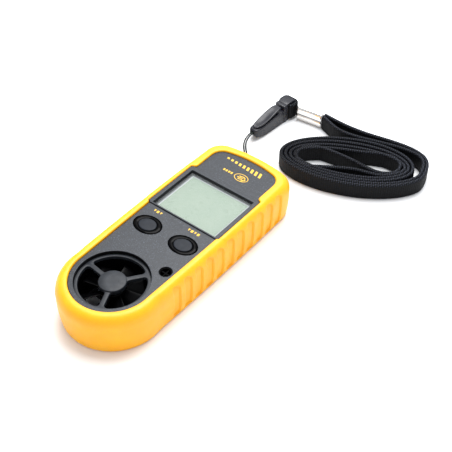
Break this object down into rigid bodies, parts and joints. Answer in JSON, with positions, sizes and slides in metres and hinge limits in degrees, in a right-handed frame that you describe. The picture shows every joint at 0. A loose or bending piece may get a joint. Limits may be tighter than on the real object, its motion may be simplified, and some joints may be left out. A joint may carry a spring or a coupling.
{
  "type": "vane anemometer",
  "caption": "Pocket vane anemometer: jacketed case with ducted rotor, blank display, press keys and coin-cell door, on a string with quick release and coiled webbing strap.",
  "frame": {"origin": "bottom centre of the jacketed instrument lying on its back, without its lanyard", "axes": "+Y from the lanyard end to the rotor end, +X to the right when the display is read, +Z out of the display"},
  "size_m": [0.079, 0.1637, 0.0179],
  "materials": {
    "jacket_rubber": "satin moulded elastomer",
    "case_plastic": "fine spark-eroded grain",
    "guard_plastic": "satin",
    "duct_plastic": "satin",
    "rotor_plastic": "moulded gloss",
    "key_gloss": "polished",
    "key_cap": "satin",
    "window_clear": "clear polished",
    "lcd_cell": "polarised display glass",
    "diffuser": "frosted light guide",
    "white_frame": "moulded",
    "silicone": "banded silicone",
    "board_laminate": "solder mask",
    "chip_epoxy": "potting resin",
    "component": "moulded",
    "steel": "plain",
    "spring_metal": "nickel plated",
    "cell_can": "brushed",
    "jewel": "polished",
    "magnet": "nickel plated",
    "clip_plastic": "moulded gloss",
    "chrome": "bright plated",
    "webbing": "braided polyester",
    "string": "braided cord"
  },
  "bodies": {
    "case": {"rubber_boot": "jacket_rubber", "front_cover": "case_plastic", "rear_cover": "case_plastic", "duct_sleeve": "duct_plastic", "front_guard": "guard_plastic", "rear_guard": "guard_plastic", "front_bearing": "jewel", "rear_bearing": "jewel", "set_switch": "component", "mode_switch": "component", "display_window": "window_clear", "lcd_glass": "lcd_cell", "light_guide": "diffuser", "lcd_holder": "white_frame", "zebra_connector": "silicone", "circuit_board": "board_laminate", "controller_chip": "chip_epoxy", "clock_crystal": "steel", "hall_sensor": "component", "chip_resistors": "component", "air_thermistor": "chip_epoxy", "sensor_shroud": "duct_plastic", "coin_cell": "cell_can", "negative_contact": "spring_metal", "positive_contact": "spring_metal", "case_screws": "steel", "board_screws": "steel", "string_loop": "string", "clip_receiver": "clip_plastic"},
    "rotor": {"impeller": "rotor_plastic", "impeller_axle": "steel", "sensing_magnet": "magnet"},
    "set_key": {"set_button": "key_gloss", "set_button_cap": "key_cap", "set_switch_plunger": "component"},
    "mode_key": {"mode_button": "key_gloss", "mode_button_cap": "key_cap", "mode_switch_plunger": "component"},
    "door": {"battery_door": "case_plastic"},
    "release_lever": {"clip_lever": "clip_plastic"},
    "strap": {"clip_socket": "clip_plastic", "webbing_loop": "webbing", "ferrule": "chrome", "strap_lead": "webbing", "strap_coil": "webbing"}
  },
  "joints": [
    {"name": "impeller_spin", "type": "hinge", "parent": "case", "child": "rotor", "pos_m": [0, 0.03314, 0.0088], "axis": [0, 0, 1], "continuous": true},
    {"name": "set_press", "type": "slide", "parent": "case", "child": "set_key", "axis": [0, 0, -1], "range_m": [0, 0.0004], "stiffness_N_per_m": 600},
    {"name": "mode_press", "type": "slide", "parent": "case", "child": "mode_key", "axis": [0, 0, -1], "range_m": [0, 0.0004], "stiffness_N_per_m": 600},
    {"name": "door_turn", "type": "hinge", "parent": "case", "child": "door", "pos_m": [0, -0.024, 0.001], "axis": [0, 0, 1], "range_deg": [0, 40]},
    {"name": "lever_press", "type": "hinge", "parent": "case", "child": "release_lever", "pos_m": [0.02105, -0.07959, 0.0062], "axis": [0.9976, -0.0698, 0], "range_deg": [0, 4], "stiffness_Nm_per_rad": 0.3},
    {"name": "clip_release", "type": "slide", "parent": "case", "child": "strap", "axis": [-0.0698, -0.9976, 0], "range_m": [0, 0.009]}
  ]
}
